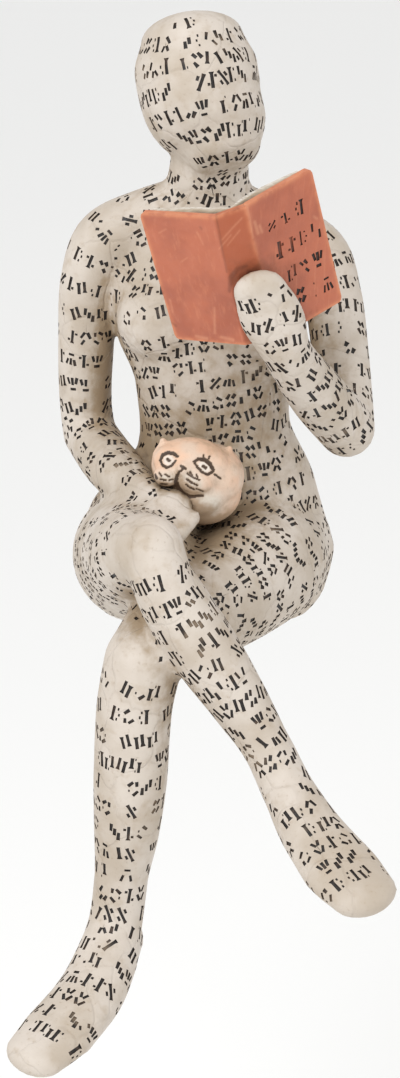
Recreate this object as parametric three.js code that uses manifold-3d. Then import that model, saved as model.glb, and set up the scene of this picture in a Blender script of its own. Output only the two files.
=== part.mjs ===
import * as THREE from 'three';
import { mergeVertices } from 'three/addons/utils/BufferGeometryUtils.js';
import Module from 'manifold-3d';

// A woman sits on the edge of a shelf with crossed legs and reads, with a cat on the lap.
// Figure, book and cat are one resin casting. Sizes are in millimetres, with +Z up. The figure
// faces -Y, and left and right are the viewer's. The heights below are measured from where the
// seat's roundness would end: it is cut flat at SEAT_LEVEL, and the figure is set down by that
// much, so that the flat seat lies at Z = 0.

const wasm = await Module();
wasm.setup();

const degrees = THREE.MathUtils.degToRad;

// Driving sizes
const SEAT_LEVEL = 2;
const SEAT_FRONT = -27;
const SEAT_BACK = 22;
const SEAT_HALF_WIDTH = 24;
const SEAT_CUT_DEPTH = 20;
const FINGERS = 4;
const FINGER_RADIUS = 1.25;
const FINGER_PITCH = 2.1;
const FINGER_LENGTH = 5;
const FIRST_KNUCKLE = new THREE.Vector3(-7.4, -25.5, 27.4);
const ACROSS_THE_FINGERS = new THREE.Vector3(0.88, -0.3, -0.36).normalize();
const ALONG_THE_FINGERS = new THREE.Vector3(-0.42, -0.84, -0.34).normalize();
const BOOK_HEIGHT = 23.7;
const COVER_WIDTH = 13.6;
const COVER_THICKNESS = 1.1;
const SPINE_WIDTH = 5.1;
const PAGE_WIDTH = 12.6;
const PAGE_THICKNESS = 1.5;
const PAGE_MARGIN = 0.6;
const PAGE_SWELL = 3.3;
const PAGE_SWELL_AT = 0.35;
const LEFT_COVER_ANGLE = degrees(29);
const RIGHT_COVER_ANGLE = degrees(39);
const FOOT_NARROWING = 0.12;
const BOOK_LEAN = new THREE.Euler(degrees(15), degrees(-12.5), 0);
const BOOK_FOOT = new THREE.Vector3(8.8, -32.4, 54.8);
const EAR_HEIGHT = 3.6;
const EAR_RADIUS = 2.1;
const CAT_HEAD_TILT = degrees(10);
const CAP_ROWS = 3;
const SMALLEST_GAP = 1e-4;

const ACROSS = new THREE.Vector3(1, 0, 0);

// A ring is one cross-section of a limb: its centre and its half sizes across and through the limb.
const ring = (x, y, z, wide, deep = wide) => ({
  centre: new THREE.Vector3(x, y, z),
  size: new THREE.Vector3(wide, deep, 0),
});

// A ball is an ellipsoid: its centre and its half sizes.
const ball = (x, y, z, wide, deep, high) => ({
  centre: new THREE.Vector3(x, y, z),
  size: new THREE.Vector3(wide, deep, high),
});

const TORSO = [
  ring(0, 1.5, 2, 16.5, 12),
  ring(0, 1.6, 8, 19.8, 13.4),
  ring(0.9, 0.8, 15, 20.5, 12.8),
  ring(2.1, 0, 24, 16.2, 10.4),
  ring(1.6, -0.4, 34, 12.2, 8.5),
  ring(1.2, -0.5, 42, 12.6, 9),
  ring(0.9, -0.2, 48.6, 15, 9.5),
  ring(0.6, 0.2, 55, 15.8, 9.6),
  ring(0.5, 0.8, 61.5, 15.6, 8.4),
  ring(0.3, 0.9, 67, 12.4, 7.2),
  ring(0.4, 0.2, 72, 7, 6),
  ring(0.7, -1, 77, 6.3, 5.8),
  ring(0.7, -2, 82, 6, 5.8),
];
const HEAD = [
  ring(-2.1, 0.6, 97, 8.2, 9.2),
  ring(-1.5, -0.6, 92.4, 9.9, 11.1),
  ring(-0.4, -2.4, 87.4, 9.8, 10.9),
  ring(2, -4.8, 83, 8.3, 9.2),
  ring(3.2, -6.8, 80, 6, 6.4),
];
// The upper arms start inside the shoulders, by the neck.
const LEFT_ARM = [
  ring(-4, 0.3, 69.4, 5),
  ring(-10, 0.7, 67.3, 5),
  ring(-15.8, 0.8, 64, 5.3),
  ring(-18.5, 1.2, 58, 4.8),
  ring(-19.3, 3, 47, 4.6),
  ring(-19.5, 4.2, 37, 4.3),
  ring(-19, 4.8, 31.3, 4.3),
];
const LEFT_FOREARM = [
  ring(-18.9, 4.6, 30.9, 4.3),
  ring(-15, -6, 28.2, 4.5),
  ring(-9.6, -19, 26.8, 3.2),
  ring(-5.6, -25, 26.4, 3.9, 2.5),
];
const RIGHT_ARM = [
  ring(4, 0.3, 69, 5),
  ring(11, 0.7, 66, 5),
  ring(17.8, 0.8, 61.6, 5.4),
  ring(20.4, -1.8, 56, 4.8),
  ring(21.8, -7.5, 47, 4.6),
  ring(22.7, -15.5, 37, 4.5),
];
const RIGHT_FOREARM = [
  ring(22.6, -16, 36.8, 4.6),
  ring(17.6, -23.5, 44.4, 4.6),
  ring(13, -31, 52.6, 3.9),
  ring(10.4, -35.2, 59.4, 5.1, 2.9),
  ring(8.4, -37.4, 64.4, 4.2, 2.2),
];
const LEFT_THIGH = [
  ring(-9.5, 3, 12, 11),
  ring(-10.5, -10, 14.4, 11),
  ring(-10.2, -22, 17.4, 9.8),
  ring(-9.3, -34, 21.2, 8.4),
  ring(-8.7, -43, 24, 7.4),
];
const RIGHT_THIGH = [
  ring(10, 3, 12.2, 11),
  ring(8.2, -8, 12.4, 10.8),
  ring(3, -19, 10.8, 9.6),
  ring(-3.4, -30, 9.4, 8.2),
  ring(-9, -39.6, 6.2, 6.2),
];
const CROSSING_LEG = [
  ring(-8.6, -44, 24.2, 7.2),
  ring(-4.4, -44.6, 15.6, 5.4, 6),
  ring(-0.3, -44.6, 8.6, 5.5, 6.2),
  ring(5.3, -45.2, 0, 4.7, 5.1),
  ring(10, -46.6, -7.6, 3.9, 4.2),
  ring(12.9, -49.6, -13, 4.1, 4.2),
  ring(16.7, -56.4, -17.8, 5, 3.7),
  ring(21.4, -64, -22, 6.1, 3.1),
  ring(24.4, -68.4, -24, 5.5, 2.7),
];
const CROSSING_SOLE = [
  ring(12.2, -46.4, -13, 3.6),
  ring(15.8, -54, -18.2, 4.5, 3.4),
  ring(20.6, -62.6, -22.4, 5.6, 2.7),
];
const HANGING_LEG = [
  ring(-9.7, -41, 5.4, 6.2),
  ring(-11.1, -40.6, -2, 6, 6.4),
  ring(-11.8, -39.2, -14, 5.9, 6.4),
  ring(-12.5, -37.8, -24, 5.2, 5.5),
  ring(-13.4, -36.8, -32, 4.3, 4.5),
  ring(-14.2, -37, -38.6, 4.3, 4.4),
  ring(-15.6, -40.6, -43.8, 5, 4.5),
  ring(-18.4, -46.6, -48, 5.4, 3.7),
  ring(-23.4, -54, -52, 5.8, 3),
  ring(-26.6, -58, -54, 5.1, 2.6),
];
const HANGING_SOLE = [
  ring(-13.7, -35.8, -42.4, 3.9),
  ring(-17.6, -45, -48.6, 4.9, 3.5),
  ring(-22.8, -53.2, -52.4, 5.6, 2.7),
];

const BUST = [ball(-6.2, -3.4, 52.2, 8.2, 8, 7.6), ball(7, -3.2, 51.4, 8.2, 8, 7.6)];
const BUTTOCKS = [ball(-9.2, 3, 9, 11, 12.6, 10), ball(9.4, 3, 9, 11, 12.6, 10)];
const CAT_HEAD = ball(-1.9, -20, 31.2, 6.5, 5.2, 5.1);
const CAT_MUZZLE = [ball(-4.4, -24.2, 29.6, 2.6, 1.8, 1.9), ball(-0.9, -24.6, 29, 3, 1.9, 2.1)];
const CAT_BODY = ball(-0.2, -16.6, 26.8, 6.1, 6.6, 5.2);

// A closed geometry becomes a solid once its vertices are shared and its collapsed faces are dropped.
function solidOf(geometry) {
  geometry.deleteAttribute('normal');
  geometry.deleteAttribute('uv');
  const shared = mergeVertices(geometry, SMALLEST_GAP);
  const corners = shared.index.array;
  const triVerts = [];
  for (let i = 0; i < corners.length; i += 3) {
    const [a, b, c] = [corners[i], corners[i + 1], corners[i + 2]];
    if (a !== b && b !== c && c !== a) {
      triVerts.push(a, b, c);
    }
  }
  return new wasm.Manifold(new wasm.Mesh({
    numProp: 3,
    vertProperties: new Float32Array(shared.attributes.position.array),
    triVerts: new Uint32Array(triVerts),
  }));
}

// A limb is a capsule bent along the smooth curve through its rings. Its ends are rounded, and
// roundness is the length of an end over its radius.
function limb(rings, { sides = 16, steps = 2, roundness = 1 } = {}) {
  const path = new THREE.CatmullRomCurve3(rings.map((r) => r.centre));
  const sizes = new THREE.CatmullRomCurve3(rings.map((r) => r.size));
  const geometry = new THREE.CapsuleGeometry(1, 1, CAP_ROWS, sides, steps * (rings.length - 1));
  const position = geometry.attributes.position;
  for (let i = 0; i < position.count; i++) {
    const along = position.getY(i);
    const onPath = THREE.MathUtils.clamp(along, -0.5, 0.5);
    const size = sizes.getPoint(onPath + 0.5);
    const tangent = path.getTangent(onPath + 0.5);
    const side = ACROSS.clone().addScaledVector(tangent, -ACROSS.dot(tangent)).normalize();
    const through = side.clone().cross(tangent);
    const point = path.getPoint(onPath + 0.5)
      .addScaledVector(side, position.getX(i) * size.x)
      .addScaledVector(through, position.getZ(i) * size.y)
      .addScaledVector(tangent, (along - onPath) * roundness * (size.x + size.y) / 2);
    position.setXYZ(i, point.x, point.y, point.z);
  }
  return solidOf(geometry);
}

// A ball can be tilted in the plane that the viewer sees.
function blob({ centre, size }, { tilt = 0, sides = 14 } = {}) {
  const geometry = new THREE.SphereGeometry(1, sides, Math.round(sides * 0.6));
  geometry.scale(size.x, size.y, size.z);
  geometry.rotateY(tilt);
  geometry.translate(centre.x, centre.y, centre.z);
  return solidOf(geometry);
}

function join(solids) {
  return solids.reduce((whole, solid) => whole.add(solid));
}

// Short fingers lie side by side over the left thigh, from the knuckles forward and down.
function leftFingers() {
  return Array.from({ length: FINGERS }, (_, finger) => {
    const joints = [0, 0.5, 1].map((share) => FIRST_KNUCKLE.clone()
      .addScaledVector(ACROSS_THE_FINGERS, finger * FINGER_PITCH)
      .addScaledVector(ALONG_THE_FINGERS, share * FINGER_LENGTH));
    return limb(joints.map((p) => ring(p.x, p.y, p.z, FINGER_RADIUS)), { sides: 8, steps: 1 });
  });
}

function body() {
  return join([
    limb(TORSO, { sides: 22, roundness: 0.5 }),
    limb(HEAD, { sides: 20, steps: 3, roundness: 0.5 }),
    limb(LEFT_ARM),
    limb(LEFT_FOREARM),
    limb(RIGHT_ARM),
    limb(RIGHT_FOREARM),
    limb(LEFT_THIGH, { sides: 20 }),
    limb(RIGHT_THIGH, { sides: 20 }),
    limb(CROSSING_LEG),
    limb(CROSSING_SOLE, { sides: 12 }),
    limb(HANGING_LEG),
    limb(HANGING_SOLE, { sides: 12 }),
    ...leftFingers(),
    ...BUST.map((breast) => blob(breast)),
    ...BUTTOCKS.map((buttock) => blob(buttock)),
  ]);
}

function ear(x, y, z, lean) {
  const geometry = new THREE.ConeGeometry(EAR_RADIUS, EAR_HEIGHT, 10);
  geometry.rotateX(Math.PI / 2);
  geometry.rotateY(lean);
  geometry.translate(x, y, z);
  return solidOf(geometry);
}

function cat() {
  return join([
    blob(CAT_HEAD, { tilt: CAT_HEAD_TILT, sides: 18 }),
    ...CAT_MUZZLE.map((cheek) => blob(cheek, { tilt: CAT_HEAD_TILT, sides: 10 })),
    blob(CAT_BODY),
    ear(-6.4, -19, 35, degrees(-24)),
    ear(3.6, -19, 33.6, degrees(34)),
  ]);
}

// The book's section has the middle of the spine at the origin, X along the spine's width and Y
// towards the reader. One leaf is a cover with its pages, on the side -1 or 1, opened by an angle.
function leaf(side, angle) {
  const out = new THREE.Vector2(side * Math.cos(angle), Math.sin(angle));
  const inward = new THREE.Vector2(-side * Math.sin(angle), Math.cos(angle));
  const corner = new THREE.Vector2(side * SPINE_WIDTH / 2, 0);
  const at = (width, thickness) => corner.clone().addScaledVector(out, width)
    .addScaledVector(inward, thickness);
  return {
    corner,
    tip: at(COVER_WIDTH, 0),
    innerTip: at(COVER_WIDTH, COVER_THICKNESS),
    innerCorner: new THREE.Vector2(
      side * (SPINE_WIDTH / 2 - COVER_THICKNESS * Math.tan(angle / 2)),
      COVER_THICKNESS,
    ),
    pageEdge: at(PAGE_WIDTH, COVER_THICKNESS / 2),
    pageTop: at(PAGE_WIDTH, COVER_THICKNESS + PAGE_THICKNESS),
    pageSwell: at(PAGE_WIDTH * PAGE_SWELL_AT, COVER_THICKNESS + PAGE_SWELL),
  };
}

function coverSection(left, right) {
  return new THREE.Shape([
    left.tip, left.corner, right.corner, right.tip,
    right.innerTip, right.innerCorner, left.innerCorner, left.innerTip,
  ]);
}

function pageSection(left, right) {
  const pages = new THREE.Shape();
  pages.moveTo(left.pageEdge.x, left.pageEdge.y);
  pages.lineTo(-SPINE_WIDTH / 4, COVER_THICKNESS / 2);
  pages.lineTo(SPINE_WIDTH / 4, COVER_THICKNESS / 2);
  pages.lineTo(right.pageEdge.x, right.pageEdge.y);
  pages.lineTo(right.pageTop.x, right.pageTop.y);
  pages.quadraticCurveTo(right.pageSwell.x, right.pageSwell.y, 0, COVER_THICKNESS + PAGE_THICKNESS);
  pages.quadraticCurveTo(left.pageSwell.x, left.pageSwell.y, left.pageTop.x, left.pageTop.y);
  pages.closePath();
  return pages;
}

// The left cover is a little narrower at the foot of the book than at its head.
function narrowFoot(geometry) {
  const position = geometry.attributes.position;
  for (let i = 0; i < position.count; i++) {
    const fromHead = 1 - position.getZ(i) / BOOK_HEIGHT;
    const outward = Math.min(position.getX(i) + SPINE_WIDTH / 2, 0);
    position.setX(i, position.getX(i) - FOOT_NARROWING * fromHead * outward);
  }
}

// A section is pushed up along the spine, and then leaned and set in the hand.
function upTheSpine(section, height, from) {
  const geometry = new THREE.ExtrudeGeometry(section, {
    depth: height,
    bevelEnabled: false,
    curveSegments: 6,
  });
  geometry.translate(0, 0, from);
  narrowFoot(geometry);
  geometry.applyMatrix4(new THREE.Matrix4().makeRotationFromEuler(BOOK_LEAN));
  geometry.translate(BOOK_FOOT.x, BOOK_FOOT.y, BOOK_FOOT.z);
  return solidOf(geometry);
}

function book() {
  const left = leaf(-1, LEFT_COVER_ANGLE);
  const right = leaf(1, RIGHT_COVER_ANGLE);
  return join([
    upTheSpine(coverSection(left, right), BOOK_HEIGHT, 0),
    upTheSpine(pageSection(left, right), BOOK_HEIGHT - 2 * PAGE_MARGIN, PAGE_MARGIN),
  ]);
}

// The seat is cut flat, so that it lies on the shelf. The calves in front of it hang free.
function belowSeat() {
  const geometry = new THREE.BoxGeometry(2 * SEAT_HALF_WIDTH, SEAT_BACK - SEAT_FRONT, SEAT_CUT_DEPTH);
  geometry.translate(0, (SEAT_BACK + SEAT_FRONT) / 2, SEAT_LEVEL - SEAT_CUT_DEPTH / 2);
  return solidOf(geometry);
}

function meshOf(name, solid, material) {
  const { vertProperties, triVerts } = solid.getMesh();
  const geometry = new THREE.BufferGeometry();
  geometry.setAttribute('position', new THREE.BufferAttribute(new Float32Array(vertProperties), 3));
  geometry.setIndex(new THREE.BufferAttribute(new Uint32Array(triVerts), 1));
  geometry.computeVertexNormals();
  const mesh = new THREE.Mesh(geometry, material);
  mesh.name = name;
  return mesh;
}

const printedResin = new THREE.MeshStandardMaterial({ color: 0xd6d0c6, roughness: 0.6, metalness: 0 });
const figurine = new THREE.Group();
const casting = join([body(), cat(), book()]).subtract(belowSeat());
const figure = meshOf('reading_woman_figurine', casting, printedResin);
figure.position.z = -SEAT_LEVEL;
figurine.add(figure);

export default figurine;
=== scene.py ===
import math
import random

import bmesh
import bpy
import numpy as np
from mathutils import Euler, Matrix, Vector, noise
from mathutils.bvhtree import BVHTree
from mathutils.kdtree import KDTree


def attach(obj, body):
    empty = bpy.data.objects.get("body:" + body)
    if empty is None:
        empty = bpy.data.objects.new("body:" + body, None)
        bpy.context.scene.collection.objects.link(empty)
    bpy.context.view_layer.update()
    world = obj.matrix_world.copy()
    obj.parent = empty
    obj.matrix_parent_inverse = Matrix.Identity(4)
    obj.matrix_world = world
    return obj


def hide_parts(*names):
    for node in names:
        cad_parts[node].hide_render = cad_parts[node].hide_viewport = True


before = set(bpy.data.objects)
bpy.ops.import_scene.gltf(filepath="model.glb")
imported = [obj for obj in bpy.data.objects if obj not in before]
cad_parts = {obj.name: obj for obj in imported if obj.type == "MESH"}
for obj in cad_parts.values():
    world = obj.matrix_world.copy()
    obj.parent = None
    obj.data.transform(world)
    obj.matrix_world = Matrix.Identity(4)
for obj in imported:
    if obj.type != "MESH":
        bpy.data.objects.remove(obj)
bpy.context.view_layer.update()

# Sizes are in millimetres until a mesh is made, in the frame of the CAD part: +Z up, the figure
# faces -Y, and left and right are the viewer's.
MM = 0.001
SEAT_LEVEL = 2
SEED = 5

# Each ring is one cross-section of a limb: x, y, z and its half sizes across and through the limb.
# Heights in these tables are measured from SEAT_LEVEL below the flat seat.
LIMBS = {
    "torso": [
        (0, 1.5, 2, 16.5, 12), (0, 1.6, 8, 19.8, 13.4), (0.9, 0.8, 15, 20.5, 12.8),
        (2.1, 0, 24, 16.2, 10.4), (1.6, -0.4, 34, 12.2, 8.5), (1.2, -0.5, 42, 12.6, 9),
        (0.9, -0.2, 48.6, 15, 9.5), (0.6, 0.2, 55, 15.8, 9.6), (0.5, 0.8, 61.5, 15.6, 8.4),
        (0.3, 0.9, 67, 12.4, 7.2), (0.4, 0.2, 72, 7, 6), (0.7, -1, 77, 6.3, 5.8), (0.7, -2, 82, 6, 5.8),
    ],
    "head": [
        (-2.1, 0.6, 97, 8.2, 9.2), (-1.5, -0.6, 92.4, 9.9, 11.1), (-0.4, -2.4, 87.4, 9.8, 10.9),
        (2, -4.8, 83, 8.3, 9.2), (3.2, -6.8, 80, 6, 6.4),
    ],
    "left_arm": [
        (-4, 0.3, 69.4, 5, 5), (-10, 0.7, 67.3, 5, 5), (-15.8, 0.8, 64, 5.3, 5.3),
        (-18.5, 1.2, 58, 4.8, 4.8), (-19.3, 3, 47, 4.6, 4.6), (-19.5, 4.2, 37, 4.3, 4.3),
        (-19, 4.8, 31.3, 4.3, 4.3),
    ],
    "left_forearm": [
        (-18.9, 4.6, 30.9, 4.3, 4.3), (-15, -6, 28.2, 4.5, 4.5), (-9.6, -19, 26.8, 3.2, 3.2),
        (-5.6, -25, 26.4, 3.9, 2.5),
    ],
    "right_arm": [
        (4, 0.3, 69, 5, 5), (11, 0.7, 66, 5, 5), (17.8, 0.8, 61.6, 5.4, 5.4),
        (20.4, -1.8, 56, 4.8, 4.8), (21.8, -7.5, 47, 4.6, 4.6), (22.7, -15.5, 37, 4.5, 4.5),
    ],
    "right_forearm": [
        (22.6, -16, 36.8, 4.6, 4.6), (17.6, -23.5, 44.4, 4.6, 4.6), (13, -31, 52.6, 3.9, 3.9),
        (10.4, -35.2, 59.4, 5.1, 2.9), (8.4, -37.4, 64.4, 4.2, 2.2),
    ],
    "left_thigh": [
        (-9.5, 3, 12, 11, 11), (-10.5, -10, 14.4, 11, 11), (-11, -22, 17.4, 9, 9),
        (-10.8, -34, 21, 6.9, 6.9), (-8.9, -42.5, 24, 5.3, 5.5),
    ],
    "right_thigh": [
        (10, 3, 12.2, 11, 11), (8.2, -8, 12.4, 10.8, 10.8), (3, -19, 10.8, 9.6, 9.6),
        (-3.4, -30, 9.4, 8.2, 8.2), (-9, -39.6, 6.2, 6.2, 6.2),
    ],
    "crossing_leg": [
        (-8.2, -43.8, 24.6, 4.9, 5.3), (-7, -44.5, 20.4, 4.9, 5.6), (-4.5, -44.6, 15.4, 5.4, 6),
        (-0.3, -44.6, 8.6, 5.5, 6.2),
        (5.3, -45.2, 0, 4.7, 5.1), (10, -46.6, -7.6, 3.9, 4.2), (12.9, -49.6, -13, 4.1, 4.2),
        (16.7, -56.4, -17.8, 5, 3.7), (21.4, -64, -22, 6.1, 3.1), (24.4, -68.4, -24, 5.5, 2.7),
    ],
    "crossing_sole": [
        (12.2, -46.4, -13, 3.6, 3.6), (15.8, -54, -18.2, 4.5, 3.4), (20.6, -62.6, -22.4, 5.6, 2.7),
    ],
    "hanging_leg": [
        (-9.7, -41, 5.4, 6.2, 6.2), (-11.1, -40.6, -2, 6, 6.4), (-11.8, -39.2, -14, 5.9, 6.4),
        (-12.5, -37.8, -24, 5.2, 5.5), (-13.4, -36.8, -32, 4.3, 4.5), (-14.2, -37, -38.6, 4.3, 4.4),
        (-15.6, -40.6, -43.8, 5, 4.5), (-18.4, -46.6, -48, 5.4, 3.7), (-23.4, -54, -52, 5.8, 3),
        (-26.6, -58, -54, 5.1, 2.6),
    ],
    "hanging_sole": [
        (-13.7, -35.8, -42.4, 3.9, 3.9), (-17.6, -45, -48.6, 4.9, 3.5), (-22.8, -53.2, -52.4, 5.6, 2.7),
    ],
}
ROUNDNESS = {"torso": 0.5, "head": 0.5}
BALLS = [
    (-6.2, -3.4, 52.2, 8.2, 8, 7.6), (7, -3.2, 51.4, 8.2, 8, 7.6),
    (-9.2, 3, 9, 11, 12.6, 10), (9.4, 3, 9, 11, 12.6, 10),
]
FINGERS = 4
FINGER_RADIUS = 1.25
FINGER_PITCH = 2.1
FINGER_LENGTH = 5
FIRST_KNUCKLE = np.array((-7.4, -25.5, 27.4))
ACROSS_THE_FINGERS = np.array((0.88, -0.3, -0.36))
ALONG_THE_FINGERS = np.array((-0.42, -0.84, -0.34))

SKIN_VOXEL = 0.5
CAT_VOXEL = 0.18
SKIN_TRIANGLES = 25000
CREASE_ROUNDS = 26
CREASE_WIDTH = 0.02

# The photograph's camera: it looks down on the figure, and one pixel of the 400 x 1078 frame is
# MM_PER_PIXEL at the target.
ELEVATION = math.radians(15)
DISTANCE = 900
MM_PER_PIXEL = 0.16
PHOTO_HEIGHT = 1078
TARGET = np.array((-0.8, -20, 17.6))
SENSOR = 36


def unit(v):
    return v / np.linalg.norm(v, axis=-1, keepdims=True)


def curve(points, t):
    """A centripetal Catmull-Rom curve through the points, at each t from 0 to 1."""
    points = np.asarray(points, float)
    ends = 2 * points[0] - points[1], 2 * points[-1] - points[-2]
    padded = np.vstack([ends[0], points, ends[1]])
    spans = np.sqrt(np.linalg.norm(np.diff(padded, axis=0), axis=1))
    at = np.clip(t, 0, 1) * (len(points) - 1)
    k = np.minimum(at.astype(int), len(points) - 2)
    w = (at - k)[:, None]
    p0, p1, p2, p3 = (padded[k + i] for i in range(4))
    d0, d1, d2 = (spans[k + i][:, None] for i in range(3))
    d1 = np.where(d1 < 1e-4, 1, d1)
    d0 = np.where(d0 < 1e-4, d1, d0)
    d2 = np.where(d2 < 1e-4, d1, d2)
    m1 = ((p1 - p0) / d0 - (p2 - p0) / (d0 + d1) + (p2 - p1) / d1) * d1
    m2 = ((p2 - p1) / d1 - (p3 - p1) / (d1 + d2) + (p3 - p2) / d2) * d1
    return p1 + m1 * w + (3 * (p2 - p1) - 2 * m1 - m2) * w ** 2 + (2 * (p1 - p2) + m1 + m2) * w ** 3


def limb_frame(rings, t):
    """The limb's centre, sideways, through and along directions, and half sizes at each t."""
    rings = np.asarray(rings, float)
    centre = curve(rings[:, :3], t)
    sizes = curve(np.c_[rings[:, 3:], np.zeros(len(rings))], t)
    along = unit(curve(rings[:, :3], t + 1e-4) - curve(rings[:, :3], t - 1e-4))
    across = np.array((1.0, 0, 0))
    side = unit(across - along * (along @ across)[:, None])
    return centre, side, np.cross(side, along), along, sizes[:, :1], sizes[:, 1:2]


def grid_faces(rows, sides):
    """Quads over rows of a closed ring, with a point at each end."""
    faces = []
    for r in range(rows - 1):
        for s in range(sides):
            a, b = 1 + r * sides + s, 1 + r * sides + (s + 1) % sides
            faces.append((a, b, b + sides, a + sides))
    last = 1 + rows * sides
    for s in range(sides):
        n = (s + 1) % sides
        faces.append((0, 1 + n, 1 + s))
        faces.append((last, last - sides + s, last - sides + n))
    return faces


def limb(rings, roundness=1.0, sides=40, steps=8, cap_rows=7):
    """A closed tube through the rings, with rounded ends: (vertices, faces)."""
    t = np.linspace(0, 1, steps * (len(rings) - 1) + 1)
    centre, side, through, along, wide, deep = limb_frame(rings, t)
    bulge = np.linspace(0, np.pi / 2, cap_rows + 1)[1:]
    stations = [(0, -math.sin(b), math.cos(b)) for b in bulge[::-1]]
    stations += [(k, 0, 1) for k in range(len(t))]
    stations += [(len(t) - 1, math.sin(b), math.cos(b)) for b in bulge]
    angle = np.linspace(0, 2 * np.pi, sides, endpoint=False)[:, None]
    rows = []
    for k, push, shrink in stations:
        end = centre[k] + along[k] * push * roundness * (wide[k] + deep[k]) / 2
        around = side[k] * wide[k] * np.cos(angle) + through[k] * deep[k] * np.sin(angle)
        rows.append(end + around * shrink)
    poles = rows[0].mean(0), rows[-1].mean(0)
    vertices = np.vstack([poles[0], *rows[1:-1], poles[1]])
    return vertices, grid_faces(len(rows) - 2, sides)


def ball(x, y, z, wide, deep, high, tilt=0.0, sides=32, rows=18):
    """An ellipsoid, tilted in the plane that the viewer sees: (vertices, faces)."""
    lift = np.linspace(-np.pi / 2, np.pi / 2, rows + 1)[1:-1]
    angle = np.linspace(0, 2 * np.pi, sides, endpoint=False)
    points = [(0, 0, -1)]
    points += [
        (math.cos(b) * math.cos(a), math.cos(b) * math.sin(a), math.sin(b)) for b in lift for a in angle
    ]
    points.append((0, 0, 1))
    turned = np.array(points) * (wide, deep, high) @ turn_y(tilt).T
    return turned + (x, y, z), grid_faces(len(lift), sides)


def turn_y(angle):
    return np.array(Euler((0, angle, 0)).to_matrix())


def joined(solids):
    """Several (vertices, faces) as one."""
    vertices, faces, start = [], [], 0
    for v, f in solids:
        vertices.append(v)
        faces += [tuple(i + start for i in face) for face in f]
        start += len(v)
    return np.vstack(vertices), faces


def new_object(name, vertices, faces):
    mesh = bpy.data.meshes.new(name)
    mesh.from_pydata((np.asarray(vertices) * MM).tolist(), [], faces)
    mesh.update()
    piece = bpy.data.objects.new(name, mesh)
    bpy.context.scene.collection.objects.link(piece)
    return piece


def points_of(mesh):
    co = np.empty(len(mesh.vertices) * 3)
    mesh.vertices.foreach_get("co", co)
    return co.reshape(-1, 3) / MM


def set_points(mesh, points):
    mesh.vertices.foreach_set("co", (points * MM).ravel())
    mesh.update()


def bake_modifiers(piece):
    """The piece's mesh with its modifiers in it."""
    bpy.context.view_layer.update()
    mesh = bpy.data.meshes.new_from_object(piece.evaluated_get(bpy.context.evaluated_depsgraph_get()))
    old = piece.data
    piece.modifiers.clear()
    piece.data = mesh
    bpy.data.meshes.remove(old)
    return mesh


def fuse(piece, voxel):
    remesh = piece.modifiers.new("fuse", "REMESH")
    remesh.mode = "VOXEL"
    remesh.voxel_size = voxel * MM
    remesh.use_smooth_shade = True
    return bake_modifiers(piece)


def thin_out(piece, triangles):
    """Fewer triangles, smaller where the surface bends more."""
    split = piece.modifiers.new("split", "TRIANGULATE")
    split.quad_method = "SHORTEST_DIAGONAL"
    mesh = bake_modifiers(piece)
    fewer = piece.modifiers.new("fewer", "DECIMATE")
    fewer.ratio = min(1.0, triangles / len(mesh.polygons))
    return bake_modifiers(piece)


def soften(mesh, rounds, crease_rounds, width=CREASE_WIDTH):
    """Evens the whole surface a little and then fills its creases, so that limbs flow into each other."""
    edges = np.empty(len(mesh.edges) * 2, int)
    mesh.edges.foreach_get("vertices", edges)
    a, b = edges.reshape(-1, 2).T
    n = len(mesh.vertices)
    degree = np.bincount(a, minlength=n) + np.bincount(b, minlength=n)
    points = points_of(mesh)
    for turn in range(rounds + crease_rounds):
        total = np.stack([
            np.bincount(a, points[b, k], n) + np.bincount(b, points[a, k], n) for k in range(3)
        ], 1)
        move = total / degree[:, None] - points
        if turn < rounds:
            points += 0.5 * move
            continue
        if (turn - rounds) % 4 == 0:
            set_points(mesh, points)
            normals = np.empty(n * 3)
            mesh.vertices.foreach_get("normal", normals)
            normals = normals.reshape(-1, 3)
        outward = (move * normals).sum(1)
        points += 0.5 * move * np.clip(outward / width, 0, 1)[:, None]
    set_points(mesh, points)
    return points


def flatten_seat(mesh):
    """The underside of the hips and thighs lies on the shelf, up to the shelf's edge. Whatever is deeper
    below it than the hips reach is a leg, and stays."""
    edge, fade, reach = -27.0, 6.0, 12.0
    points = points_of(mesh)
    z = points[:, 2]
    allowed = -np.clip((edge - points[:, 1]) / fade, 0, 1) * fade
    under = (points[:, 1] > edge - fade) & (z < allowed) & (z > -reach)
    points[under, 2] = allowed[under]
    set_points(mesh, points)


def fingers():
    across, along = unit(ACROSS_THE_FINGERS), unit(ALONG_THE_FINGERS)
    for k in range(FINGERS):
        start = FIRST_KNUCKLE + across * FINGER_PITCH * k
        joints = [start + along * FINGER_LENGTH * share for share in (0, 0.5, 1)]
        yield limb([(*p, FINGER_RADIUS, FINGER_RADIUS) for p in joints], sides=20)


def lowered(solid):
    return solid[0] - (0, 0, SEAT_LEVEL), solid[1]


def make_skin():
    solids = [limb(rings, ROUNDNESS.get(name, 1.0)) for name, rings in LIMBS.items()]
    solids += [*fingers(), *(ball(*b) for b in BALLS)]
    piece = new_object("reading_woman", *lowered(joined(solids)))
    mesh = fuse(piece, SKIN_VOXEL)
    soften(mesh, 4, CREASE_ROUNDS)
    flatten_seat(mesh)
    thin_out(piece, SKIN_TRIANGLES)
    return piece


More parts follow.
